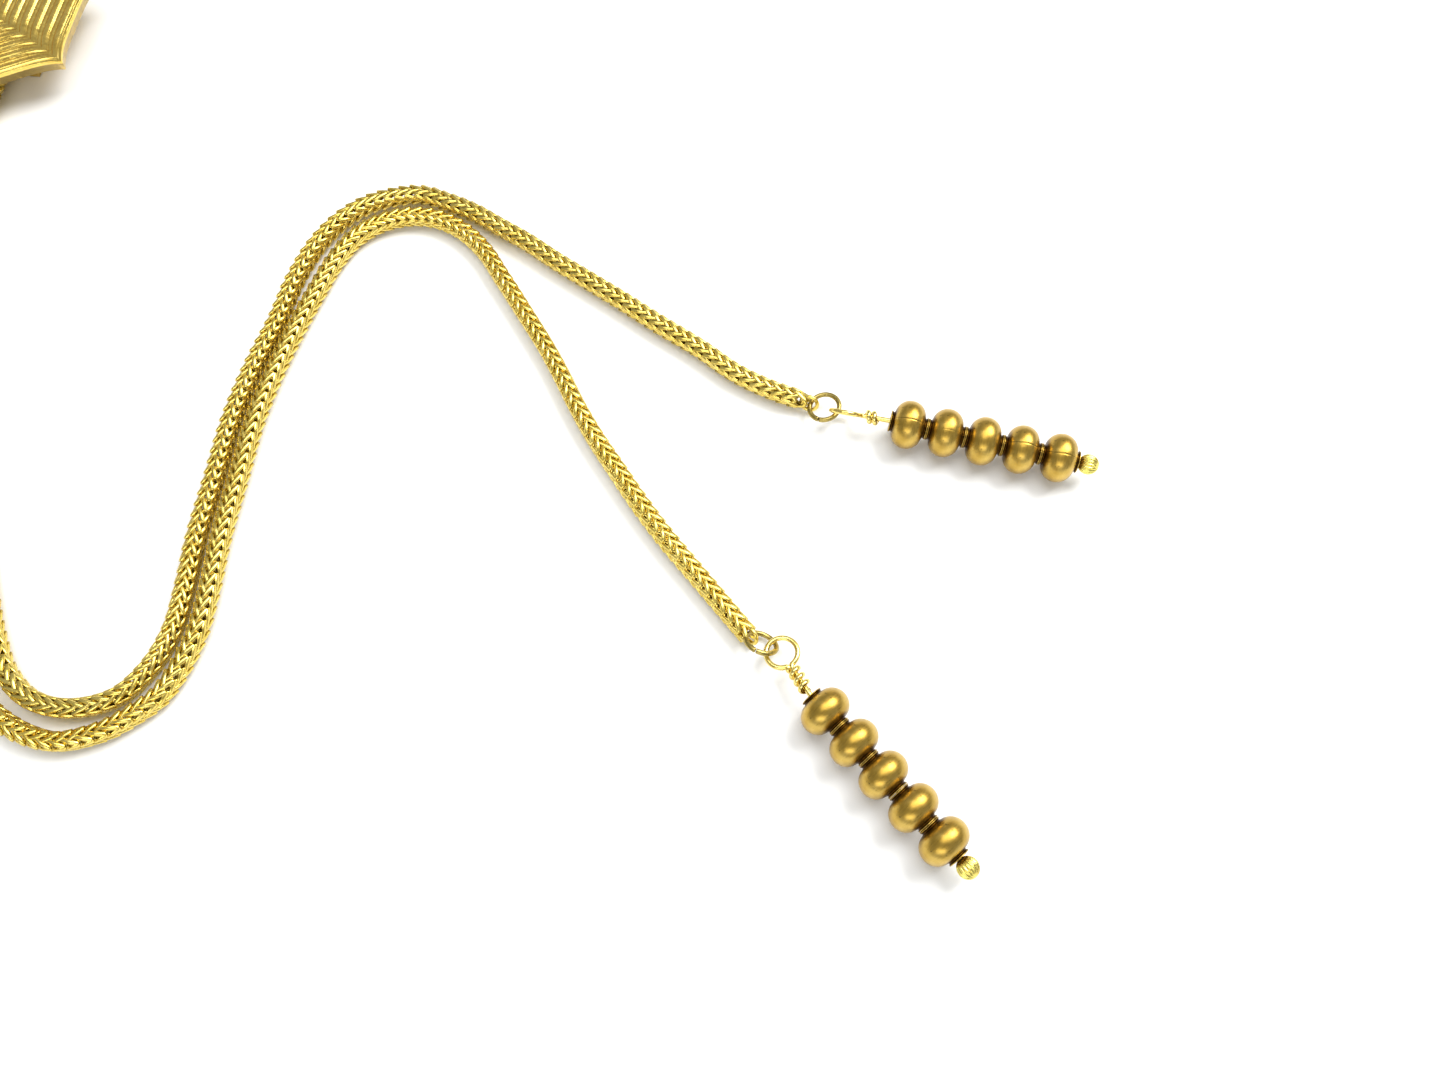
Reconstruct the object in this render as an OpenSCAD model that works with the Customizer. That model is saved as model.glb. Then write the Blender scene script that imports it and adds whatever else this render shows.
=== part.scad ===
// Slide chain for a dress watch or collar: one long foxtail chain, doubled, whose two
// strands run through a ribbed slide and end in beaded tassels. Millimetres, +Z up.
// The origin is the middle of the slide's resting face, and +Y is the way the slide
// travels, towards the neck loop. The chain lies on the plane z = 0.

/* [Chain] */
// Thickness of the square foxtail chain, across its ridges
chain_d = 3.4; // [3.0:0.1:3.5]
// Wire of the chain's last link
link_wire_d = 0.6; // [0.5:0.05:0.7]

/* [Tassels] */
// Diameter of a saucer bead
bead_d = 7.2; // [6.6:0.1:7.2]
// Length of a saucer bead from collar to collar
bead_l = 5.56; // [5.3:0.02:5.58]
// Diameter of a bead's collars
collar_d = 3.1; // [2.6:0.1:3.4]
// Diameter of the fluted ball that ends the headpin
ball_d = 3.0; // [2.6:0.1:3.2]
// Diameter of the headpin's and the jump ring's wire
wire_d = 0.8; // [0.7:0.05:0.8]
// Radial clearance between a bead's hole and the headpin
bead_clearance = 0.08; // [0.04:0.01:0.1]

/* [Rings] */
// Radius of the jump ring at the middle of its wire
ring_r = 2.25; // [2.2:0.05:2.3]
// Radius of the headpin's wrapped loop at the middle of its wire
loop_r = 2.2; // [2.15:0.05:2.25]

/* [Slide] */
// Distance from the slide's middle to each of its six corners
slide_r = 20; // [18:0.5:21]
// How far each side of the slide curves inwards
side_sag = 0.8; // [0.4:0.1:1.2]
// Distance from one rib of the slide to the next
rib_pitch = 1.5; // [1.3:0.1:1.6]
// Height that each rib stands above the one outside it
rib_rise = 0.2; // [0.1:0.05:0.25]
// Distance from the slide's middle plane to each strand
strand_x = 3; // [2.8:0.1:3.2]
// Width of the guide block that the strands run through
block_w = 16; // [15:0.5:18]
// Length of the guide block
block_l = 14; // [12:0.5:16]

/* [Hidden] */

chain_r = chain_d / 2;
wire_r = wire_d / 2;
axis_z = 3.6;           // height of the beads' axis when they lie on the plane
bead_pitch = 5.6;
bead_count = 5;
pin_bend_x = -2.95;     // where the headpin's neck bends, behind the first bead
wrap_turns = 3;         // turns of the headpin's tail round its own neck
wrap_start = 0.5;       // from the loop's wire to the first of them
pin_overlap = 0.3;      // length over which the pin and its neck are one
split_w = 0.12;         // saw cut of a jump ring

// Both strands keep to the middle of the guide block, at this height and this far either way.
bore_r = chain_r + 0.2;
strand_z = 2.5;
straight_y = 22;
block_h = 5.2;
plate_t = 1;
front_wall = 1.6;
rim_h = 1.4;
rib_count = 11;
shell_t = 0.9;          // metal of the pressed front
side_steps = 8;

// The coil that holds the neck loop: its middle and the radii of its two turns.
coil_y = 58;
coil_outer = 22.5;
coil_inner = 19;

// Strand A, from its tassel to the start of the coil, at the height of half a chain.
a_flat = [
    [145.5, -57.5], [141.5, -56.5], [135, -54], [128.5, -50], [122, -46.5], [115, -42.5],
    [109.5, -39.5], [104, -36.5], [99, -33.5], [94, -31], [89, -28.5], [84.5, -27],
    [80, -26], [75.5, -27], [71.5, -29], [68, -32.5], [65.5, -37], [63.5, -44],
    [62.5, -52], [61, -60], [60, -69], [60, -79], [60, -89], [60.5, -96.5], [60.5, -103],
    [58.7, -108.8], [56, -112.5], [52, -114.5], [47.5, -115], [43.5, -114], [39.5, -111],
    [36, -106], [32.5, -99.5], [27, -88], [21.5, -77], [16, -66], [11, -55.5], [7, -46],
    [4, -37]
];
// Strand B, from its tassel to the foot of the slide.
b_flat = [
    [140, -94.5], [136, -90.5], [132, -86.5], [127.5, -82], [123, -77], [118.5, -71.5],
    [114.5, -66.5], [111, -61.5], [108.5, -57.5], [105.5, -53], [101, -47], [96, -40.5],
    [91.5, -35], [87.5, -32], [83.5, -30.5], [79, -30.5], [75, -32], [71.5, -35],
    [69, -40], [67.5, -45.5], [66, -52], [64.5, -60], [63.5, -69], [63.5, -79],
    [63.5, -89], [64, -96.5], [64, -103], [62.8, -108.7], [61.3, -112.2], [58.5, -115],
    [56, -117], [53, -118.5], [49.5, -119.5], [45, -119], [41, -117.5], [35, -113.5],
    [29, -107], [23.5, -97], [18, -86], [12.5, -75], [7.5, -64.5], [3, -55], [-0.5, -46],
    [-2.5, -37]
];
// From the slide's foot through its guide block to the coil, where B climbs over A.
a_lead = [
    [3, -29, 2.1], [3, -22, 2.5], [3, 22, 2.5], [4, 26, 2.1], [8, 31, 1.7],
    [13, 36.5, 1.7], [18.5, 45, 1.7]
];
b_lead = [
    [-3, -29, 2.1], [-3, -22, 2.5], [-3, 22, 2.5], [-4, 25.5, 2.1], [-7.5, 29, 1.8],
    [-12.5, 33.5, 1.9], [-17, 38.5, 3.3], [-18.5, 42.5, 4.8], [-18.5, 47.5, 5.2],
    [-18.5, 51.5, 3.6], [-18.5, 55, 1.8]
];

function laid(points) = [for (p = points) [p[0], p[1], chain_r]];
a_route = concat(laid(a_flat), a_lead);
b_route = concat(laid(b_flat), b_lead);

// Each tassel: the first bead's middle, its heading, and the set of its pin's loop and ring.
bead1_a = [161, -60.9, axis_z];
heading_a = -8;
loop_a = [-9.4, 0, -0.5];      // loop's middle, from the first bead, along the heading
loop_roll_a = 118;
ring_at_a = [148.5, -58.5, 2.2];
ring_turn_a = [0, -13, -18];   // roll, rise and heading of the ring
link_turn_a = [70, 0, -12];

bead1_b = [151.8, -105, axis_z];
heading_b = -43;
loop_b = [-10, 1.3, -1.2];
loop_roll_b = 4;
ring_at_b = [142.4, -96.1, 2.2];
ring_turn_b = [-42, 0, -22];
link_turn_b = [70, 0, -47];

// ---- helpers ----

function unit(v) = v / norm(v);
function tangent(route, i) =
    unit(route[min(i + 1, len(route) - 1)] - route[max(i - 1, 0)]);

// Sweeps a round section along a route whose points become the tube's own rings.
module tube(route, r, sides = 8) {
    n = len(route);
    rings = [for (i = [0 : n - 1])
        let (t = tangent(route, i), side = unit(cross(t, [0, 0, 1])), top = cross(side, t))
        for (k = [0 : sides - 1])
            route[i] + r * (cos(360 * k / sides) * side + sin(360 * k / sides) * top)];
    walls = [for (i = [0 : n - 2]) for (k = [0 : sides - 1])
        let (a = i * sides + k, b = i * sides + (k + 1) % sides)
        [a, b, b + sides, a + sides]];
    start = [for (k = [sides - 1 : -1 : 0]) k];
    finish = [for (k = [0 : sides - 1]) (n - 1) * sides + k];
    polyhedron(points = rings, faces = concat([start], walls, [finish]));
}

module torus(major, minor, turn = 360) {
    rotate_extrude(angle = turn, $fn = 48)
        translate([major, 0])
            circle(r = minor, $fn = 24);
}

// A round rod from one point to another.
module rod(from, to, r) {
    way = to - from;
    translate(from)
        rotate([0, acos(way[2] / norm(way)), atan2(way[1], way[0])])
            cylinder(h = norm(way), r = r, $fn = 24);
}

module tassel(bead1, heading) {
    translate(bead1)
        rotate([0, 0, heading])
            children();
}

function corner(k, r) = [r * sin(60 * k), r * cos(60 * k)];

// A six-cornered outline, a corner at +Y, whose sides curve inwards.
function star(r, sag) = [for (k = [0 : 5]) for (i = [0 : side_steps - 1])
    let (a = corner(k, r), b = corner(k + 1, r), t = i / side_steps, p = a + (b - a) * t)
    p - unit(a + b) * sag * 4 * t * (1 - t)];

// ---- chain ----

module strand_a() {
    color("goldenrod") tube(a_route, chain_r);
}

module strand_b() {
    color("darkgoldenrod") tube(b_route, chain_r);
}

// The neck loop, put away as two turns side by side.
module neck_coil() {
    color("gold")
        translate([0, coil_y, 0])
            rotate_extrude($fn = 96)
                hull() {
                    translate([coil_inner, chain_r]) circle(r = chain_r, $fn = 24);
                    translate([coil_outer, chain_r]) circle(r = chain_r, $fn = 24);
                }
}

// The last wire link of each strand, which its jump ring passes through.
link_at_a = [146.2, -57.8, chain_r];
link_at_b = [140.8, -95, chain_r];
link_r = 1.25;
module end_link(at, turn) {
    color("goldenrod")
        translate(at)
            rotate([0, 0, turn[2]])
                rotate([turn[0], 0, 0])
                    torus(link_r, link_wire_d / 2);
}

// ---- jump rings ----

module jump_ring(at, turn) {
    color("darkkhaki")
        translate(at)
            rotate([0, 0, turn[2]])
                rotate([0, turn[1], 0])
                    rotate([turn[0], 0, 0])
                        difference() {
                            torus(ring_r, wire_r);
                            translate([0, -ring_r, 0])
                                cube([split_w, 2 * wire_d, 2 * wire_d], center = true);
                        }
}

// ---- headpins and their beads, in the tassel's own frame: +X runs from loop to ball ----

ball_x = (bead_count - 1) * bead_pitch + bead_l / 2 + ball_d / 2 + 0.03;

module headpin(loop_at, roll) {
    bend = [pin_bend_x, 0, 0];
    back = unit(loop_at - bend);
    neck_top = loop_at - back * loop_r;
    color("gold") {
        rod(bend - [pin_overlap, 0, 0], [ball_x, 0, 0], wire_r);
        translate(neck_top)
            rotate([0, acos(-back[2]), atan2(-back[1], -back[0])])
                wrapped_neck(norm(neck_top - bend) + pin_overlap / 2);
        translate(loop_at)
            rotate([0, 0, atan2(-back[1], -back[0])])
                rotate([roll, asin(back[2]), 0])
                    rotate([0, 0, 90])
                        torus(loop_r, wire_r);
    }
}

core_r = wire_r + 0.05;

// The wire of the neck and the tail that is wound round it, as one turned shape.
module wrapped_neck(length) {
    rotate_extrude($fn = 48) {
        square([core_r, length]);
        translate([0, wrap_start]) square([wire_d * 0.9, wire_d * wrap_turns]);
        for (i = [0 : wrap_turns - 1])
            translate([wire_d * 0.9, wrap_start + (i + 0.5) * wire_d])
                circle(r = wire_r * 0.98, $fn = 24);
    }
}

module ball_end() {
    color("gold")
        difference() {
            translate([ball_x, 0, 0]) sphere(r = ball_d / 2, $fn = 48);
            rod([ball_x - ball_d, 0, 0], [ball_x + 0.02, 0, 0], wire_r + 0.02);
        }
}

// A saucer bead is a hollow shell: a collar, a waist, an oval belly, and the same again.
belly_l = 0.36 * bead_l;
waist_r = 0.88 * collar_d / 2;
collar_l = 0.25;
bead_wall = 0.4;
hole_r = wire_r + bead_clearance;

function belly(r, l) = [for (a = [-78 : 12 : 78]) [waist_r + (r - waist_r) * cos(a), l * sin(a)]];
bead_outside = concat(
    [[hole_r, -bead_l / 2], [collar_d / 2, -bead_l / 2], [collar_d / 2, -bead_l / 2 + collar_l]],
    belly(bead_d / 2, belly_l),
    [[collar_d / 2, bead_l / 2 - collar_l], [collar_d / 2, bead_l / 2], [hole_r, bead_l / 2]]
);
hollow = [for (p = belly(bead_d / 2 - bead_wall, belly_l - bead_wall)) [p[0] - bead_wall, -p[1]]];
bead_outline = concat(
    bead_outside,
    [[hole_r, hollow[0][1] + bead_wall]], hollow, [[hole_r, -hollow[0][1] - bead_wall]]
);

module bead(i) {
    color("darkgoldenrod")
        translate([i * bead_pitch, 0, 0])
            rotate([0, 90, 0])
                rotate_extrude($fn = 64)
                    polygon(bead_outline);
}

// ---- slide ----

front_z = block_h + plate_t;

// The ribbed front: each rib is a smaller outline that stands a little higher.
module slide_front() {
    color("gold")
        difference() {
            union() {
                translate([0, 0, block_h])
                    linear_extrude(front_z - block_h + rim_h)
                        polygon(star(slide_r, side_sag));
                for (i = [1 : rib_count])
                    translate([0, 0, front_z])
                        linear_extrude(rim_h + i * rib_rise)
                            polygon(star(slide_r - i * rib_pitch, side_sag));
            }
            translate([0, 0, block_h - 1])
                linear_extrude(plate_t + 1)
                    polygon(star(slide_r - front_wall, side_sag));
            for (i = [2 : 3 : rib_count])
                translate([0, 0, block_h])
                    linear_extrude(plate_t + rim_h + i * rib_rise - shell_t)
                        polygon(star(slide_r - i * rib_pitch - shell_t, side_sag));
        }
}

module slide_back_plate() {
    color("goldenrod")
        difference() {
            translate([0, 0, block_h])
                linear_extrude(plate_t - 0.02)
                    polygon(star(slide_r - front_wall - 0.05, side_sag));
            at_rivets() cylinder(h = block_h * 3, r = rivet_r + 0.03, center = true, $fn = 32);
        }
}

rivet_r = 0.8;
rivet_head_r = 1.3;
rivet_x = 6.2;
rivet_y = 4.8;
head_h = 0.6;

module at_rivets() {
    for (x = [-rivet_x, rivet_x], y = [-rivet_y, rivet_y])
        translate([x, y, 0])
            children();
}

spring_pocket_w = 10;
spring_pocket_l = 11;
spring_t = 0.3;

// Two bores carry the strands, and the pocket between them and the plate holds the spring.
module guide_block() {
    color("goldenrod")
        difference() {
            translate([-block_w / 2, -block_l / 2, 0])
                cube([block_w, block_l, block_h - 0.02]);
            for (x = [-strand_x, strand_x])
                translate([x, 0, strand_z])
                    rotate([90, 0, 0])
                        cylinder(h = block_l + 2, r = bore_r, center = true, $fn = 48);
            translate([-spring_pocket_w / 2, -spring_pocket_l / 2, strand_z + 1])
                cube([spring_pocket_w, spring_pocket_l, block_h]);
            at_rivets() {
                cylinder(h = block_h * 3, r = rivet_r + 0.03, center = true, $fn = 32);
                translate([0, 0, -1]) cylinder(h = head_h + 1.2, r = rivet_head_r + 0.03, $fn = 32);
            }
        }
}

// A bowed leaf that bears on both strands, so that the slide stays where it is pushed.
module tension_spring() {
    half = spring_pocket_l / 2 - 0.2;
    low = strand_z + chain_r + 0.04;
    high = block_h - spring_t - 0.04;
    bow = [for (i = [-6 : 6]) [half * i / 6, low + (high - low) * pow(i / 6, 2)]];
    color("silver")
        rotate([90, 0, 90])
            linear_extrude(spring_pocket_w - 0.6, center = true)
                polygon(concat(bow, [for (i = [12 : -1 : 0]) bow[i] + [0, spring_t]]));
}

// Four rivets join the guide block to the back plate, their heads sunk in the block.
module block_rivets() {
    color("gold")
        at_rivets() {
            translate([0, 0, 0.2]) cylinder(h = head_h, r = rivet_head_r, $fn = 32);
            translate([0, 0, 0.2]) cylinder(h = front_z - 0.24, r = rivet_r, $fn = 32);
        }
}

strand_a();
strand_b();
neck_coil();
end_link(link_at_a, link_turn_a);  // end_link_a
end_link(link_at_b, link_turn_b);  // end_link_b
jump_ring(ring_at_a, ring_turn_a);  // jump_ring_a
jump_ring(ring_at_b, ring_turn_b);  // jump_ring_b
tassel(bead1_a, heading_a) headpin(loop_a, loop_roll_a);  // headpin_a
tassel(bead1_b, heading_b) headpin(loop_b, loop_roll_b);  // headpin_b
tassel(bead1_a, heading_a) ball_end();  // ball_end_a
tassel(bead1_b, heading_b) ball_end();  // ball_end_b
tassel(bead1_a, heading_a) bead(0);  // bead_a1
tassel(bead1_a, heading_a) bead(1);  // bead_a2
tassel(bead1_a, heading_a) bead(2);  // bead_a3
tassel(bead1_a, heading_a) bead(3);  // bead_a4
tassel(bead1_a, heading_a) bead(4);  // bead_a5
tassel(bead1_b, heading_b) bead(0);  // bead_b1
tassel(bead1_b, heading_b) bead(1);  // bead_b2
tassel(bead1_b, heading_b) bead(2);  // bead_b3
tassel(bead1_b, heading_b) bead(3);  // bead_b4
tassel(bead1_b, heading_b) bead(4);  // bead_b5
slide_front();
slide_back_plate();
guide_block();
tension_spring();
block_rivets();
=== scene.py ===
"""Looks for the slide chain: a doubled foxtail chain, a ribbed slide and two beaded tassels.

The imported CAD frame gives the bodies. Every detailed piece stands for its CAD node and rides
on that node's body. Lengths inside the builders are millimetres; MM turns them into metres.
"""

import math

import bmesh
import bpy
import numpy as np
from mathutils import Matrix, Vector


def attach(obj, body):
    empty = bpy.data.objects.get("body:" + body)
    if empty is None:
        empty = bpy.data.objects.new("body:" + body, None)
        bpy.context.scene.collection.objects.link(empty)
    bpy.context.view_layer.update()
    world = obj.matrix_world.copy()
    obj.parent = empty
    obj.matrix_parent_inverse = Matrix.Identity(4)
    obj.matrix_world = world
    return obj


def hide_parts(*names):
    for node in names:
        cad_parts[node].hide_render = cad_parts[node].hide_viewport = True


MM = 0.001
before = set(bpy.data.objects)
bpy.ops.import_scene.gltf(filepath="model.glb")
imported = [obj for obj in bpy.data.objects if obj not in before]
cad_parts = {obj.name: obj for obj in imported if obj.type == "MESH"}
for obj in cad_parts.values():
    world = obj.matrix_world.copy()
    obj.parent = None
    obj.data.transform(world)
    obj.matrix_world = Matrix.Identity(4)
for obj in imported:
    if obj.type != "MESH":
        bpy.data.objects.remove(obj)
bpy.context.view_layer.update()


# ---------------------------------------------------------------- camera, floor and light


def make_camera():
    data = bpy.data.cameras.new("camera")
    data.sensor_width = 36
    data.lens = 27.03
    data.clip_start, data.clip_end = 0.01, 20
    camera = bpy.data.objects.new("camera", data)
    camera.location = (0.14135, -0.13722, 0.14751)
    camera.rotation_euler = (math.radians(21), 0, math.radians(6))
    bpy.context.scene.collection.objects.link(camera)
    bpy.context.scene.camera = camera


def add_softbox(name, at, target, size, power, colour=(1, 1, 1)):
    data = bpy.data.lights.new(name, "AREA")
    data.shape = "RECTANGLE"
    data.size, data.size_y = size
    data.energy = power
    data.color = colour
    lamp = bpy.data.objects.new(name, data)
    lamp.location = at
    lamp.rotation_euler = (Vector(target) - Vector(at)).to_track_quat("-Z", "Y").to_euler()
    bpy.context.scene.collection.objects.link(lamp)
    return lamp


FLOOR_HALF = 3.0
FLOOR_Z = -0.0002


def make_floor():
    mesh = bpy.data.meshes.new("floor")
    mesh.from_pydata(
        [
            (x * FLOOR_HALF, y * FLOOR_HALF, FLOOR_Z)
            for x, y in ((-1, -1), (1, -1), (1, 1), (-1, 1))
        ],
        [],
        [(0, 1, 2, 3)],
    )
    floor = bpy.data.objects.new("floor", mesh)
    bpy.context.scene.collection.objects.link(floor)
    material, nodes, links, shader = new_material("floor_white")
    noise = add(nodes, "ShaderNodeTexNoise", Scale=30.0, Detail=3.0)
    ramp = colour_ramp(nodes, [(0.3, (0.90, 0.905, 0.90)), (0.7, (0.93, 0.93, 0.925))])
    links.new(noise.outputs["Fac"], ramp.inputs["Fac"])
    links.new(ramp.outputs["Color"], shader.inputs["Base Color"])
    shader.inputs["Roughness"].default_value = 0.6
    shader.inputs["Specular IOR Level"].default_value = 0.2
    mesh.materials.append(material)


def make_light():
    scene = bpy.context.scene
    scene.view_settings.view_transform = "Standard"
    scene.view_settings.look = "None"
    scene.view_settings.exposure = 0.0
    world = bpy.data.worlds.new("studio")
    world.use_nodes = True
    background = world.node_tree.nodes["Background"]
    background.inputs["Color"].default_value = (0.98, 0.99, 1.0, 1)
    background.inputs["Strength"].default_value = 0.42
    scene.world = world
    middle = (0.10, -0.05, 0)
    add_softbox("key", (0.42, 0.20, 0.50), middle, (0.34, 0.34), 4.4)
    add_softbox("top", (0.06, 0.05, 0.70), middle, (0.45, 0.45), 2.2)
    add_softbox("front", (0.05, -0.60, 0.35), middle, (0.5, 0.2), 1.1)


# ---------------------------------------------------------------- materials


def add(nodes, kind, **inputs):
    """A node with some of its inputs set; underscores stand for spaces."""
    node = nodes.new(kind)
    for name, value in inputs.items():
        node.inputs[name.replace("_", " ")].default_value = value
    return node


def colour_ramp(nodes, stops):
    node = nodes.new("ShaderNodeValToRGB")
    elements = node.color_ramp.elements
    while len(elements) < len(stops):
        elements.new(0.5)
    for element, (place, colour) in zip(elements, stops):
        element.position = place
        element.color = (*colour, 1)
    return node


def value_range(nodes, links, source, low, high, start=0.0, end=1.0):
    node = nodes.new("ShaderNodeMapRange")
    node.inputs["From Min"].default_value = start
    node.inputs["From Max"].default_value = end
    node.inputs["To Min"].default_value = low
    node.inputs["To Max"].default_value = high
    links.new(source, node.inputs["Value"])
    return node.outputs["Result"]


def mix_colour(nodes, links, factor, a, b, mode="MIX"):
    node = nodes.new("ShaderNodeMix")
    node.data_type = "RGBA"
    node.blend_type = mode
    sockets = {"Factor": 0, "A": 6, "B": 7}
    for name, value in (("Factor", factor), ("A", a), ("B", b)):
        socket = node.inputs[sockets[name]]
        if hasattr(value, "is_output"):
            links.new(value, socket)
        elif name == "Factor":
            socket.default_value = value
        else:
            socket.default_value = (*value, 1)
    return node.outputs[2]


def new_material(name):
    material = bpy.data.materials.new(name)
    material.use_nodes = True
    nodes, links = material.node_tree.nodes, material.node_tree.links
    return material, nodes, links, nodes["Principled BSDF"]


def metal(
    name,
    light,
    deep,
    rough,
    grain,
    grain_stretch=(1, 1, 1),
    bump=0.1,
    bump_distance=0.00002,
    recess=None,
    spots=None,
):
    """A worn metal: light and deep are its colours, rough the range of its roughness.

    grain is the size of its fine marks, per metre, drawn out by grain_stretch. recess names
    a mesh attribute that is 1 where painted shade darkens the metal (on the beads also along
    the dark hairline of the seam), with the colour painted there.
    spots is the colour of small tarnish marks."""
    material, nodes, links, shader = new_material(name)
    place = nodes.new("ShaderNodeTexCoord")
    stretch = nodes.new("ShaderNodeMapping")
    stretch.inputs["Scale"].default_value = grain_stretch
    links.new(place.outputs["Object"], stretch.inputs["Vector"])
    fine = add(nodes, "ShaderNodeTexNoise", Scale=grain, Detail=5.0, Roughness=0.6)
    links.new(stretch.outputs["Vector"], fine.inputs["Vector"])
    broad = add(nodes, "ShaderNodeTexNoise", Scale=420.0, Detail=3.0, Roughness=0.55)
    links.new(place.outputs["Object"], broad.inputs["Vector"])
    tone = value_range(nodes, links, broad.outputs["Fac"], 0.0, 1.0, 0.36, 0.66)
    colour = mix_colour(nodes, links, tone, deep, light)
    line_tone = value_range(nodes, links, fine.outputs["Fac"], 0.88, 1.06, 0.3, 0.7)
    lined = nodes.new("ShaderNodeMix")
    lined.data_type = "RGBA"
    lined.blend_type = "MULTIPLY"
    lined.inputs[0].default_value = 1.0
    links.new(colour, lined.inputs[6])
    links.new(line_tone, lined.inputs[7])
    colour = lined.outputs[2]
    if spots is not None:
        small = add(nodes, "ShaderNodeTexNoise", Scale=1500.0, Detail=2.0, Roughness=0.5)
        links.new(place.outputs["Object"], small.inputs["Vector"])
        mark = value_range(nodes, links, small.outputs["Fac"], 0.0, 0.8, 0.66, 0.74)
        colour = mix_colour(nodes, links, mark, colour, spots)
    roughness = value_range(nodes, links, fine.outputs["Fac"], rough[0], rough[1], 0.3, 0.7)
    # Painted shade: the recess attribute pulls the colour towards the dark recess colour.
    if recess is not None:
        attribute = nodes.new("ShaderNodeAttribute")
        attribute.attribute_name = recess[0]
        colour = mix_colour(nodes, links, attribute.outputs["Fac"], colour, recess[1])
    links.new(colour, shader.inputs["Base Color"])
    links.new(roughness, shader.inputs["Roughness"])
    shader.inputs["Metallic"].default_value = 1.0
    relief = nodes.new("ShaderNodeBump")
    relief.inputs["Strength"].default_value = bump
    relief.inputs["Distance"].default_value = bump_distance
    links.new(fine.outputs["Fac"], relief.inputs["Height"])
    links.new(relief.outputs["Normal"], shader.inputs["Normal"])
    return material


# ---------------------------------------------------------------- meshes


def unit(v):
    return v / np.linalg.norm(v)


def mesh_object(name, points, faces, material, smooth=True, place=None, attributes=None):
    """An object from points in millimetres in its own frame, put at a matrix in millimetres."""
    mesh = bpy.data.meshes.new(name)
    mesh.from_pydata([tuple(p) for p in np.asarray(points, float) * MM], [], faces)
    for key, values in (attributes or {}).items():
        layer = mesh.attributes.new(key, "FLOAT", "POINT")
        layer.data.foreach_set("value", np.asarray(values, np.float32))
    mesh.materials.append(material)
    if smooth:
        mesh.shade_smooth()
    mesh.update()
    obj = bpy.data.objects.new(name, mesh)
    if place is not None:
        world = place.copy()
        world.translation = place.translation * MM
        obj.matrix_world = world
    bpy.context.scene.collection.objects.link(obj)
    return obj


def ring_faces(rings, sides, closed=False, first=0):
    """Quads between one ring of points and the next."""
    faces = []
    for i in range(rings if closed else rings - 1):
        j = (i + 1) % rings
        for k in range(sides):
            m = (k + 1) % sides
            faces.append((
                first + i * sides + k, first + j * sides + k,
                first + j * sides + m, first + i * sides + m,
            ))
    return faces


def sweep(points, radius, sides=16, up=(0, 0, 1), caps=True):
    """A round tube along points, with ends that are rounded off a little."""
    points = np.asarray(points, float)
    radii = np.broadcast_to(np.asarray(radius, float), (len(points),)).copy()
    tangents = np.gradient(points, axis=0)
    tangents /= np.linalg.norm(tangents, axis=1)[:, None]
    normal = np.asarray(up, float)
    if abs(unit(normal) @ tangents[0]) > 0.95:
        normal = np.array([1.0, 0, 0])
    rings, ring_radii, ring_frames = [], [], []
    for point, tangent, r in zip(points, tangents, radii):
        normal = unit(normal - (normal @ tangent) * tangent)
        ring_frames.append((point, normal, np.cross(tangent, normal), tangent, r))
    if caps:
        p, n, b, t, r = ring_frames[0]
        ring_frames[:0] = [
            (p - t * r * 0.02, n, b, t, r * 0.55), (p, n, b, t, r * 0.86)]
        ring_frames[2] = (p + t * r * 0.14, n, b, t, r)
        p, n, b, t, r = ring_frames[-1]
        ring_frames[-1] = (p - t * r * 0.14, n, b, t, r)
        ring_frames += [(p, n, b, t, r * 0.86), (p + t * r * 0.02, n, b, t, r * 0.55)]
    turn = np.linspace(0, 2 * math.pi, sides, endpoint=False)
    for p, n, b, t, r in ring_frames:
        rings.append(p + r * (np.cos(turn)[:, None] * n + np.sin(turn)[:, None] * b))
    faces = ring_faces(len(rings), sides)
    faces = [f[::-1] for f in faces]
    faces.append(tuple(range(sides)))
    last = (len(rings) - 1) * sides
    faces.append(tuple(last + k for k in reversed(range(sides))))
    return np.vstack(rings), faces


def smooth_route(points, step):
    """A smooth curve through unevenly spaced points, cut into equal steps."""
    p = np.asarray(points, float)
    h = np.linalg.norm(np.diff(p, axis=0), axis=1)
    slope = np.diff(p, axis=0) / h[:, None]
    way = np.empty_like(p)
    way[0], way[-1] = slope[0], slope[-1]
    for i in range(1, len(p) - 1):
        way[i] = (h[i] * slope[i - 1] + h[i - 1] * slope[i]) / (h[i - 1] + h[i])
    fine = []
    for i in range(len(p) - 1):
        t = np.linspace(0, 1, max(8, int(h[i] / 0.15)), endpoint=False)[:, None]
        fine.append(
            (2 * t**3 - 3 * t**2 + 1) * p[i] + (t**3 - 2 * t**2 + t) * h[i] * way[i]
            + (3 * t**2 - 2 * t**3) * p[i + 1] + (t**3 - t**2) * h[i] * way[i + 1]
        )
    fine = np.vstack([*fine, p[-1:]])
    run = np.concatenate([[0], np.cumsum(np.linalg.norm(np.diff(fine, axis=0), axis=1))])
    at = np.linspace(0, run[-1], int(round(run[-1] / step)) + 1)
    return np.stack([np.interp(at, run, fine[:, k]) for k in range(3)], axis=1), run[-1]


# ---------------------------------------------------------------- the chain

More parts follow.
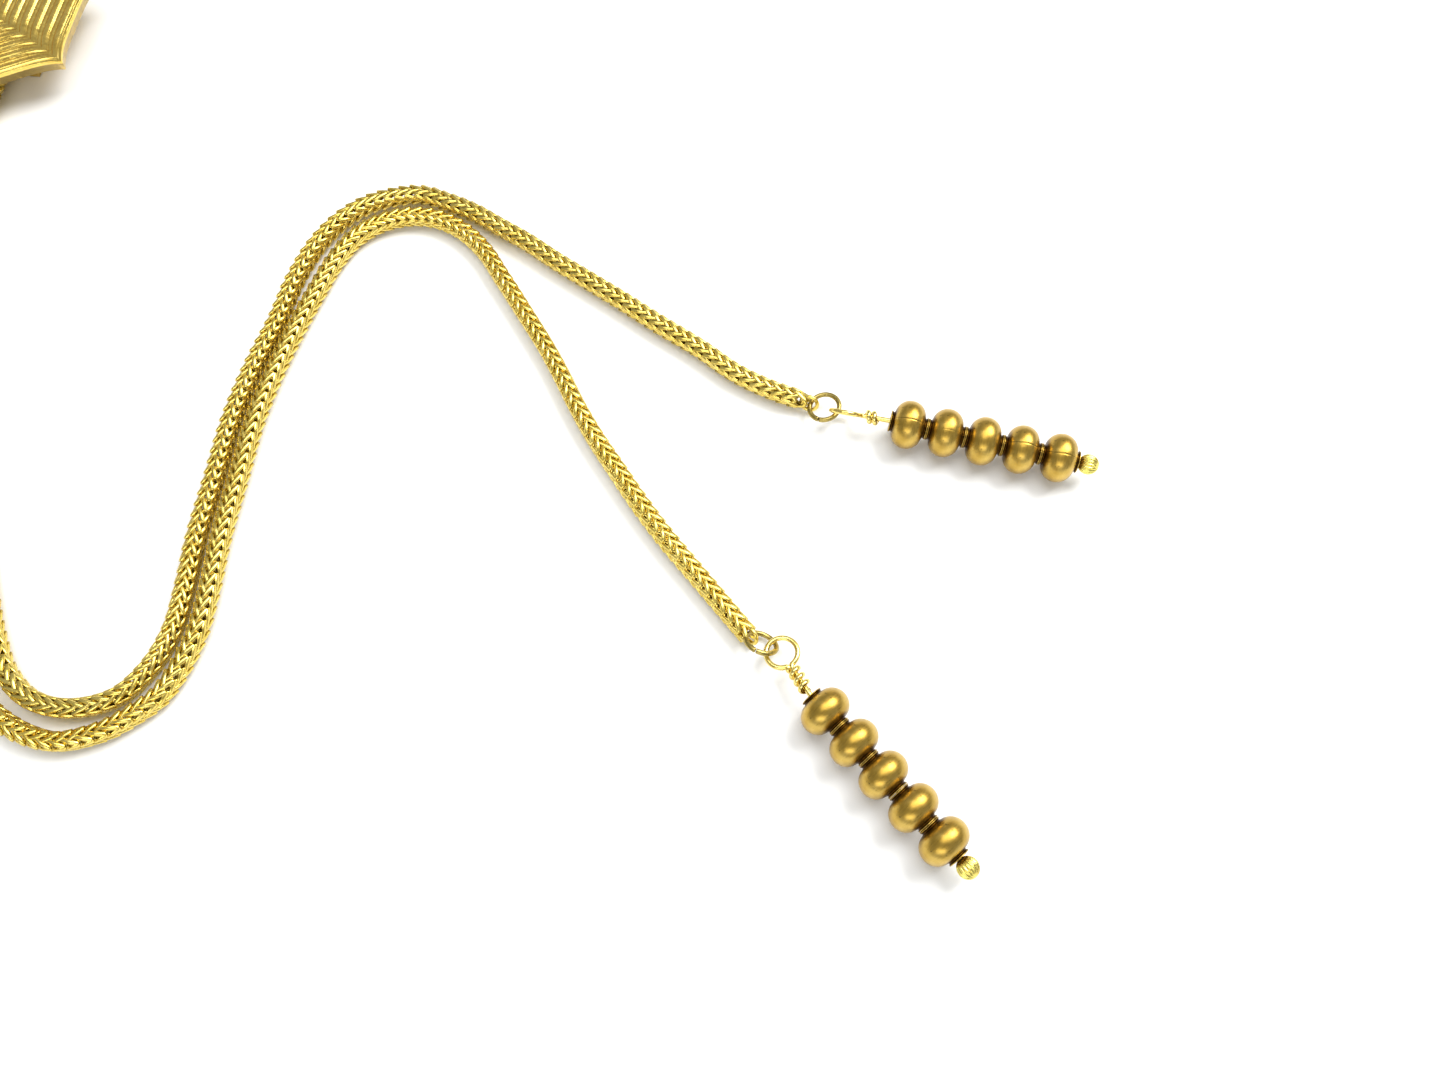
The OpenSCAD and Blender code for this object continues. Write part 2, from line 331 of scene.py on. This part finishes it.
LAY_Z = 1.7
A_FLAT = [
    (145.5, -57.5), (141.5, -56.5), (135, -54), (128.5, -50), (122, -46.5), (115, -42.5),
    (109.5, -39.5), (104, -36.5), (99, -33.5), (94, -31), (89, -28.5), (84.5, -27),
    (80, -26), (75.5, -27), (71.5, -29), (68, -32.5), (65.5, -37), (63.5, -44),
    (62.5, -52), (61, -60), (60, -69), (60, -79), (60, -89), (60.5, -96.5), (60.5, -103),
    (58.7, -108.8), (56, -112.5), (52, -114.5), (47.5, -115), (43.5, -114), (39.5, -111),
    (36, -106), (32.5, -99.5), (27, -88), (21.5, -77), (16, -66), (11, -55.5), (7, -46),
    (4, -37),
]
B_FLAT = [
    (140, -94.5), (136, -90.5), (132, -86.5), (127.5, -82), (123, -77), (118.5, -71.5),
    (114.5, -66.5), (111, -61.5), (108.5, -57.5), (105.5, -53), (101, -47), (96, -40.5),
    (91.5, -35), (87.5, -32), (83.5, -30.5), (79, -30.5), (75, -32), (71.5, -35),
    (69, -40), (67.5, -45.5), (66, -52), (64.5, -60), (63.5, -69), (63.5, -79),
    (63.5, -89), (64, -96.5), (64, -103), (62.8, -108.7), (61.3, -112.2), (58.5, -115),
    (56, -117), (53, -118.5), (49.5, -119.5), (45, -119), (41, -117.5), (35, -113.5),
    (29, -107), (23.5, -97), (18, -86), (12.5, -75), (7.5, -64.5), (3, -55), (-0.5, -46),
    (-2.5, -37),
]
A_LEAD = [
    (3, -29, 2.1), (3, -22, 2.5), (3, -19, 2.5), (3, -7, 2.5), (3, 7, 2.5), (3, 19, 2.5),
    (3, 22, 2.5), (4, 26, 2.1), (8, 31, 1.7), (13, 36.5, 1.7),
]
B_LEAD = [
    (-3, -29, 2.1), (-3, -22, 2.5), (-3, -19, 2.5), (-3, -7, 2.5), (-3, 7, 2.5),
    (-3, 19, 2.5), (-3, 22, 2.5),
    (-4, 25.5, 2.1), (-7.5, 29, 1.8), (-12.5, 33.5, 1.9), (-17, 38.5, 3.3),
    (-18.5, 42.5, 4.8), (-18.5, 47.5, 5.2), (-18.5, 51.5, 3.6),
]
COIL_Y = 58
COIL_OUTER, COIL_INNER = 22.5, 19.0
COIL_START, COIL_EASE, COIL_IN, COIL_END = -35, 240, 318, 549


def coil_points():
    """From strand A round the outer turn, in under it, and round the inner turn to B."""
    points = []
    for degrees in range(COIL_START, COIL_END + 1, 12):
        t = min(max((degrees - COIL_EASE) / (COIL_IN - COIL_EASE), 0), 1)
        r = COIL_OUTER + (COIL_INNER - COIL_OUTER) * t * t * (3 - 2 * t)
        a = math.radians(degrees)
        points.append((r * math.cos(a), COIL_Y + r * math.sin(a), LAY_Z))
    return points


def chain_route():
    return (
        [(x, y, LAY_Z) for x, y in A_FLAT] + A_LEAD + coil_points()
        + B_LEAD[::-1] + [(x, y, LAY_Z) for x, y in B_FLAT[::-1]]
    )


LINK_STEP = 0.86        # from one link to the next, which is turned a quarter
LINK_REACH = 1.45       # from the chain's axis to the middle of the wire at a loop's end
LINK_WAIST = 1.0        # the same, half way round the loop
LINK_RISE = 3.0         # how far the folded loop's ends stand ahead of its middle
LINK_WIRE = (0.25, 0.36)  # half the wire's thickness, outwards and along its flat
START_OVER, END_OVER = 0.4, 1.7  # how far the weave reaches past the route's ends
LINK_RINGS, LINK_SIDES = 14, 6


def foxtail(route, total):
    """Every link of the foxtail chain along the route: points, faces and depth in the weave,
    which sets its painted shade.
    """
    run = np.linspace(0, total, len(route))

    first, last = unit(route[1] - route[0]), unit(route[-1] - route[-2])

    def at(s):
        on = np.stack([np.interp(s, run, route[:, k]) for k in range(3)], axis=-1)
        before = np.minimum(s, 0)[..., None] * first
        return on + before + np.maximum(s - total, 0)[..., None] * last

    span = total + START_OVER + END_OVER - LINK_RISE
    count = int(round(span / LINK_STEP)) + 1
    centre = LINK_RISE / 2 - START_OVER + np.linspace(0, span, count)
    t = 2 * math.pi * (np.arange(LINK_RINGS) + 0.5) / LINK_RINGS
    t = t + 0.12 * np.sin(2 * t)
    across = LINK_REACH * np.cos(t)
    waist = LINK_WAIST * np.sign(np.sin(t)) * np.abs(np.sin(t)) ** 1.6
    along = LINK_RISE * (np.cos(t) ** 2 - 0.5)
    s = centre[:, None] + along[None, :]
    spine = at(s)
    ahead = at(s + 0.3) - at(s - 0.3)
    ahead /= np.linalg.norm(ahead, axis=-1, keepdims=True)
    side = np.cross(ahead, [0, 0, 1])
    side /= np.linalg.norm(side, axis=-1, keepdims=True)
    top = np.cross(side, ahead)
    roll = np.radians(45 + 90 * (np.arange(count) % 2))[:, None]
    roll = roll + np.radians(9) * np.sin(s / 21) + np.radians(6) * np.sin(s / 8.3 + 1)
    out = np.cos(roll)[..., None] * side + np.sin(roll)[..., None] * top
    wide = -np.sin(roll)[..., None] * side + np.cos(roll)[..., None] * top
    offset = across[None, :, None] * out + waist[None, :, None] * wide
    wire = spine + offset
    tangent = np.roll(wire, -1, axis=1) - np.roll(wire, 1, axis=1)
    tangent /= np.linalg.norm(tangent, axis=-1, keepdims=True)
    radial = offset / np.linalg.norm(offset, axis=-1, keepdims=True)
    radial -= np.sum(radial * tangent, axis=-1, keepdims=True) * tangent
    radial /= np.linalg.norm(radial, axis=-1, keepdims=True)
    flat = np.cross(tangent, radial)
    a = 2 * math.pi * np.arange(LINK_SIDES) / LINK_SIDES
    skin = (
        wire[:, :, None, :]
        + LINK_WIRE[0] * np.cos(a)[None, None, :, None] * radial[:, :, None, :]
        + LINK_WIRE[1] * np.sin(a)[None, None, :, None] * flat[:, :, None, :]
    )
    # Painted shade: wire surface near the chain's axis, deep in the weave, gets a depth of up to
    # 1, which darkens its colour.
    axis_gap = np.linalg.norm(skin - spine[:, :, None, :], axis=-1)
    depth = np.clip((1.25 - axis_gap) / 0.75, 0, 1)
    one = ring_faces(LINK_RINGS, LINK_SIDES, closed=True)
    one = np.array([f[::-1] for f in one])
    size = LINK_RINGS * LINK_SIDES
    faces = (one[None] + size * np.arange(count)[:, None, None]).reshape(-1, 4)
    return skin.reshape(-1, 3), faces.tolist(), depth.reshape(-1)


# ---------------------------------------------------------------- materials used

# The chain's recess colour is painted shade deep in the foxtail weave, where the links shadow
# each other.
CHAIN_GOLD = metal(
    "chain_gold", (0.92, 0.72, 0.19), (0.80, 0.60, 0.12), (0.20, 0.34), 2600,
    bump=0.10, recess=("depth", (0.17, 0.125, 0.014)),
)
# The beads' recess colour is painted shade in the necks between beads and in the bore, and also
# draws the dark hairline of each bead's seam.
BEAD_BRASS = metal(
    "bead_brass", (0.62, 0.43, 0.105), (0.46, 0.29, 0.05), (0.26, 0.42), 700,
    grain_stretch=(14, 1, 1), bump=0.22, recess=("shade_and_seam", (0.075, 0.032, 0.003)),
    spots=(0.20, 0.13, 0.03),
)
RING_BRASS = metal(
    "ring_brass", (0.52, 0.40, 0.12), (0.36, 0.27, 0.07), (0.22, 0.38), 2400,
    bump=0.2, spots=(0.18, 0.13, 0.04),
)
PIN_GOLD = metal(
    "pin_gold", (0.93, 0.76, 0.27), (0.82, 0.62, 0.16), (0.12, 0.26), 2200,
    bump=0.15, spots=(0.60, 0.36, 0.10),
)
BALL_GOLD = metal(
    "ball_gold", (0.90, 0.80, 0.20), (0.80, 0.60, 0.14), (0.14, 0.34), 3600,
    bump=0.6, bump_distance=0.00006,
)
SLIDE_GOLD = metal(
    "slide_gold", (0.93, 0.68, 0.17), (0.84, 0.58, 0.12), (0.14, 0.28), 1500,
    bump=0.12,
)
BLOCK_BRASS = metal(
    "block_brass", (0.70, 0.52, 0.16), (0.52, 0.37, 0.09), (0.28, 0.45), 1800,
    grain_stretch=(1, 9, 1), bump=0.25, spots=(0.26, 0.17, 0.05),
)
SPRING_STEEL = metal(
    "spring_steel", (0.62, 0.62, 0.60), (0.46, 0.46, 0.45), (0.22, 0.36), 1800,
    grain_stretch=(9, 1, 1), bump=0.15,
)


# ---------------------------------------------------------------- tassels

WIRE_R = 0.375
LOOP_R = 2.2
RING_R = 2.25
SPLIT = 0.12
END_LINK_R, END_LINK_WIRE_R = 1.25, 0.3
PIN_BEND = np.array([-2.95, 0, 0])
BALL_X = 26.71
BALL_R = 1.5
BEAD_PITCH = 5.6

TASSELS = {
    "a": {
        "bead1": (161, -60.9, 3.6), "heading": -8, "loop_at": (-9.4, 0, -0.5), "roll": 118,
        "ring_at": (148.5, -58.5, 2.2), "ring_turn": (0, -13, -18),
        "link_at": (146.2, -57.8, 1.7), "link_turn": (70, 0, -12),
        "wraps": (2.2, 0.85, 0.9), "seams": (1.80, 1.9, 2.6, 1.75, 1.85),
    },
    "b": {
        "bead1": (151.8, -105, 3.6), "heading": -43, "loop_at": (-10, 1.3, -1.2), "roll": 4,
        "ring_at": (142.4, -96.1, 2.2), "ring_turn": (-42, 0, -22),
        "link_at": (140.8, -95, 1.7), "link_turn": (70, 0, -47),
        "wraps": (3.6, 1.15, 0.35), "seams": (3.6, 4.2, 2.4, 3.9, 4.4),
    },
}


def turn_matrix(at, turn):
    """Roll about X, then Y, then Z, in degrees, then the move, in millimetres."""
    x, y, z = (math.radians(v) for v in turn)
    return (
        Matrix.Translation(at) @ Matrix.Rotation(z, 4, "Z")
        @ Matrix.Rotation(y, 4, "Y") @ Matrix.Rotation(x, 4, "X")
    )


def arc(radius, start, end, count):
    a = np.radians(np.linspace(start, end, count))
    return np.stack([radius * np.cos(a), radius * np.sin(a), np.zeros(count)], axis=1)


def make_jump_ring(key, t):
    """An open ring of round wire, its two sawn ends a hair apart."""
    gap = math.degrees(SPLIT / 2 / RING_R)
    points = arc(RING_R, -90 + gap, 270 - gap, 97)
    skin, faces = sweep(points, WIRE_R, sides=16)
    ring = mesh_object(
        f"jump_ring_{key}_wire", skin, faces, RING_BRASS,
        place=turn_matrix(t["ring_at"], t["ring_turn"]),
    )
    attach(ring, f"ring_{key}")
    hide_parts(f"jump_ring_{key}")


def make_end_link(key, t):
    """The last link of a strand, a closed loop of the chain's own wire."""
    points = arc(END_LINK_R, 0, 352.5, 48)
    skin = []
    sides = 12
    turn = np.linspace(0, 2 * math.pi, sides, endpoint=False)
    for p in points:
        out = unit(p)
        for a in turn:
            way = math.cos(a) * out + math.sin(a) * np.array([0, 0, 1])
            skin.append(p + END_LINK_WIRE_R * way)
    faces = [f[::-1] for f in ring_faces(len(points), sides, closed=True)]
    # The end link gets no painted shade: its depth is zero everywhere.
    link = mesh_object(
        f"end_link_{key}_wire", skin, faces, CHAIN_GOLD,
        place=turn_matrix(t["link_at"], t["link_turn"]),
        attributes={"depth": np.zeros(len(skin))},
    )
    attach(link, "chain")
    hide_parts(f"end_link_{key}")
    return link


def make_headpin(key, t):
    """One wire: up the beads, round the loop, and wound back down its own neck."""
    turns, pitch, start = t["wraps"]
    loop_at = np.array(t["loop_at"], float)
    back = unit(loop_at - PIN_BEND)
    neck_top = loop_at - back * LOOP_R
    turn = Matrix.Rotation(math.atan2(-back[1], -back[0]), 4, "Z") @ Matrix.Rotation(
        math.asin(back[2]), 4, "Y") @ Matrix.Rotation(math.radians(t["roll"]), 4, "X")
    turn = np.array(turn.to_3x3())
    pin = [np.array([BALL_X, 0, 0]) + (PIN_BEND + [0.35, 0, 0] - [BALL_X, 0, 0]) * f
           for f in np.linspace(0, 1, 12)]
    bend = [PIN_BEND + np.array([0.35, 0, 0]) * (1 - f) ** 2 + back * 0.35 * f**2
            for f in np.linspace(0.2, 0.8, 4)]
    neck_start = PIN_BEND + back * 0.35
    neck = [neck_start + (neck_top - neck_start) * f for f in np.linspace(0, 0.93, 12)]
    loop = arc(LOOP_R, 8, 352, 64) @ turn.T + loop_at
    down = -back
    across = unit(turn @ np.array([0, 0, 1.0]))
    third = np.cross(down, across)
    wrap_r = 0.70
    wraps = []
    for a in np.linspace(0.25, turns, int(turns * 26)):
        angle = 2 * math.pi * a
        grow = wrap_r * min(1, 0.45 + a * 1.4) * (1 + 0.10 * max(0, a - turns + 0.8))
        at = neck_top + down * (start + pitch * (a - 0.25))
        wraps.append(at + grow * (math.cos(angle) * across + math.sin(angle) * third))
    skin, faces = sweep([*pin, *bend, *neck, *loop, *wraps], WIRE_R, sides=14)
    place = turn_matrix(t["bead1"], (0, 0, t["heading"]))
    obj = mesh_object(f"headpin_{key}_wire", skin, faces, PIN_GOLD, place=place)
    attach(obj, f"tassel_{key}")
    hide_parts(f"headpin_{key}")


def make_ball(key, t):
    """The fluted ball that ends a headpin."""
    flutes = 18
    profile = []
    for a in np.linspace(-90, 90, 41):
        profile.append((BALL_R * math.sin(math.radians(a)),
                        max(0.001, BALL_R * math.cos(math.radians(a)))))
    angles = np.linspace(0, 2 * math.pi, flutes * 6, endpoint=False)
    points = []
    for a in angles:
        cut = 1 - abs(math.cos(flutes * a / 2))
        for x, r in profile:
            depth = 0.12 * cut * min(1, r / BALL_R * 1.6)
            points.append((x * (1 - 0.3 * depth), r * (1 - depth) * math.cos(a),
                           r * (1 - depth) * math.sin(a)))
    count = len(profile)
    faces = []
    for i in range(len(angles)):
        j = (i + 1) % len(angles)
        for k in range(count - 1):
            faces.append((i * count + k, j * count + k, j * count + k + 1, i * count + k + 1))
    place = turn_matrix(t["bead1"], (0, 0, t["heading"])) @ Matrix.Translation((BALL_X, 0, 0))
    ball = mesh_object(f"ball_end_{key}_fluted", points, faces, BALL_GOLD, place=place)
    merge(ball)
    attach(ball, f"tassel_{key}")
    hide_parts(f"ball_end_{key}")


def merge(obj):
    """Joins points that share a place, so that the skin is closed."""
    shape = bmesh.new()
    shape.from_mesh(obj.data)
    bmesh.ops.remove_doubles(shape, verts=shape.verts, dist=0.00001)
    bmesh.ops.recalc_face_normals(shape, faces=shape.faces)
    shape.to_mesh(obj.data)
    shape.free()


def bead_profile():
    """The bead's closed outline as (x, r), and how much painted shade each point of it gets."""
    outside = []
    for a in np.linspace(0, 80, 19):
        x = 2.28 * math.sin(math.radians(a))
        r = 1.36 + 2.24 * math.cos(math.radians(a))
        outside.append((x, r))
    outside += [
        (2.29, 1.58), (2.34, 1.48), (2.41, 1.44), (2.48, 1.46), (2.54, 1.52), (2.60, 1.58),
        (2.65, 1.61), (2.70, 1.62), (2.74, 1.60), (2.77, 1.54), (2.78, 1.47), (2.78, 1.2),
        (2.78, 0.80), (2.77, 0.54), (2.70, 0.455),
    ]
    left = [(-x, r) for x, r in reversed(outside[1:])]
    bore = [(-1.4, 0.455), (0, 0.455), (1.4, 0.455)]
    outline = left + outside + bore[::-1]
    # Painted shade: it rises from the bead's middle towards its collars and is full on the
    # collars' end faces, where the beads meet. It is strong in the bore, and the collars' outer
    # rims are left nearly free of it.
    shade_and_seam = []
    for x, r in outline:
        x = abs(x)
        value = min(max((x - 1.85) / 0.45, 0), 1)
        value = value * value * (3 - 2 * value)
        if r > 1.3 and x > 2.60:
            value = max(0.12, 1 - (x - 2.58) / 0.10)
        shade_and_seam.append(value if r > 0.9 else 0.9)
    return outline, shade_and_seam


def make_bead(key, t, i):
    """A hollow saucer bead with flared collars and the hairline of its seam."""
    outline, shade_and_seam = bead_profile()
    seam = t["seams"][i - 1]
    beside = [-0.020, -0.010, 0.0, 0.010, 0.020]
    ring = np.linspace(0.07, 2 * math.pi - 0.07, 70)
    angles = [seam + a for a in [*beside, *ring]]
    points, dark = [], []
    for n, a in enumerate(angles):
        cut = {0: 0.0, 1: 0.4, 2: 1.0, 3: 0.4, 4: 0.0}.get(n, 0.0)
        if key == "b" or i in (2, 3):
            cut *= 0.25
        for (x, r), g in zip(outline, shade_and_seam):
            inner = cut if r > 1.0 else 0.0
            points.append((x, (r - 0.05 * inner) * math.cos(a), (r - 0.05 * inner) * math.sin(a)))
            # The painted shade's edge wavers a little round the bead, and the seam's hairline is
            # drawn dark on top of it.
            wobble = 0.10 * math.sin(5 * a + 2.1 * i) * (1 if 0.05 < g < 0.95 else 0)
            dark.append(min(1, max(g + wobble, 0.9 * inner)))
    faces = [f[::-1] for f in ring_faces(len(angles), len(outline), closed=True)]
    place = turn_matrix(t["bead1"], (0, 0, t["heading"])) @ Matrix.Translation(
        ((i - 1) * BEAD_PITCH, 0, 0))
    bead = mesh_object(
        f"bead_{key}{i}_saucer", points, faces, BEAD_BRASS, place=place,
        attributes={"shade_and_seam": dark},
    )
    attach(bead, f"bead_{key}{i}")
    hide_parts(f"bead_{key}{i}")


# ---------------------------------------------------------------- slide

SLIDE_R = 20.0
SLIDE_SAG = 1.2
SIDE_STEPS = 22
RIM_W = 0.6
RIB_PITCH = 2.6
RIB_RISE = 0.1
RIB_COUNT = 7
PLATE_GAP = 0.05
WALL = 0.7


def plate_reach():
    """How far the CAD back plate reaches from the slide's middle, in millimetres."""
    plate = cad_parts["slide_back_plate"]
    return max((plate.matrix_world @ v.co).to_2d().length for v in plate.data.vertices) / MM


POCKET_R = plate_reach() + PLATE_GAP
UNDER_R = POCKET_R + WALL


def star(r, sag):
    """The slide's six-cornered outline, a corner at +Y, with sides that curve inwards."""
    points = []
    for k in range(6):
        a, b = (
            np.array([math.sin(math.radians(60 * m)), math.cos(math.radians(60 * m))]) * r
            for m in (k, k + 1)
        )
        inward = unit(a + b)
        for i in range(SIDE_STEPS):
            t = i / SIDE_STEPS
            points.append(a + (b - a) * t - inward * sag * (1 - abs(1 - 2 * t) ** 4))
    return np.array(points)


def slide_section():
    """From the inside of the hollow back, round the rim and over the ribs: (r, z)."""
    section = [
        (0.5, 6.2), (6.0, 6.2), (12.0, 6.2), (POCKET_R - 0.3, 6.2), (POCKET_R, 6.15),
        (POCKET_R, 5.3), (POCKET_R + 0.06, 5.22), (POCKET_R + 0.2, 5.2), (UNDER_R - 0.1, 5.2),
        (UNDER_R, 5.22), (UNDER_R + 0.1, 5.27), (19.85, 6.92), (19.97, 7.0), (20.0, 7.1),
        (20.0, 7.38), (19.95, 7.5), (19.84, 7.58), (19.7, 7.6), (19.46, 7.6),
    ]
    for i in range(RIB_COUNT):
        outer = SLIDE_R - RIM_W - i * RIB_PITCH
        floor = 7.6 + (i + 1) * RIB_RISE
        top = floor + 0.36
        section += [
            (outer, floor - 0.02), (outer - 0.12, floor + 0.16), (outer - 0.34, top - 0.07),
            (outer - 0.66, top), (outer - 1.00, top - 0.02), (outer - 1.30, top - 0.12),
            (outer - 1.50, top - 0.30), (outer - 1.62, floor + 0.01),
            (outer - 1.74, floor - 0.02), (outer - 1.86, floor + 0.02),
            (outer - 2.06, floor + 0.11), (outer - 2.26, floor + 0.11),
            (outer - 2.44, floor + 0.02),
        ]
    section += [(1.2, 8.42), (0.9, 8.55), (0.5, 8.6)]
    return section


def keep_mitres_sharp(obj):
    """Marks the edges along the six corners, so that each rib turns its corner crisply."""
    corners = {k * 60 for k in range(6)}
    for edge in obj.data.edges:
        turns = []
        for index in edge.vertices:
            x, y, _ = obj.data.vertices[index].co
            turns.append(math.degrees(math.atan2(x, y)) % 360)
        near = [min(corners, key=lambda c: abs((a - c + 180) % 360 - 180)) for a in turns]
        off = [abs((a - c + 180) % 360 - 180) for a, c in zip(turns, near)]
        edge.use_edge_sharp = near[0] == near[1] and max(off) < 0.05
    obj.data.shade_smooth()


def make_slide_front():
    section = slide_section()
    rings = []
    for r, z in section:
        flat = star(r, SLIDE_SAG * (r / SLIDE_R))
        rings.append(np.c_[flat, np.full(len(flat), z)])
    sides = len(rings[0])
    faces = ring_faces(len(rings), sides)
    faces.append(tuple(range(sides)))
    last = (len(rings) - 1) * sides
    faces.append(tuple(last + k for k in reversed(range(sides))))
    front = mesh_object("slide_front_ribbed", np.vstack(rings), faces, SLIDE_GOLD)
    merge(front)
    keep_mitres_sharp(front)
    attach(front, "slide")
    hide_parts("slide_front")


def dress_cad_nodes():
    """The slide's back plate, block, rivets and spring keep their CAD shapes."""
    for node, material, slot in (
        ("slide_back_plate", BLOCK_BRASS, "slide_brass"),
        ("guide_block", BLOCK_BRASS, "slide_brass"),
        ("block_rivets", PIN_GOLD, "polished_gold"),
        ("tension_spring", SPRING_STEEL, "spring_steel"),
    ):
        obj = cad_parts[node]
        obj.data.materials.clear()
        obj.data.materials.append(material)


# ---------------------------------------------------------------- everything together

make_camera()
make_floor()
make_light()

route, total = smooth_route(chain_route(), 0.25)
skin, faces, depth = foxtail(route, total)
chain = mesh_object("foxtail_chain", skin, faces, CHAIN_GOLD, attributes={"depth": depth})
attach(chain, "chain")
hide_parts("strand_a", "strand_b", "neck_coil")

for key, tassel in TASSELS.items():
    make_end_link(key, tassel)
    make_jump_ring(key, tassel)
    make_headpin(key, tassel)
    make_ball(key, tassel)
    for number in range(1, 6):
        make_bead(key, tassel, number)
make_slide_front()
dress_cad_nodes()
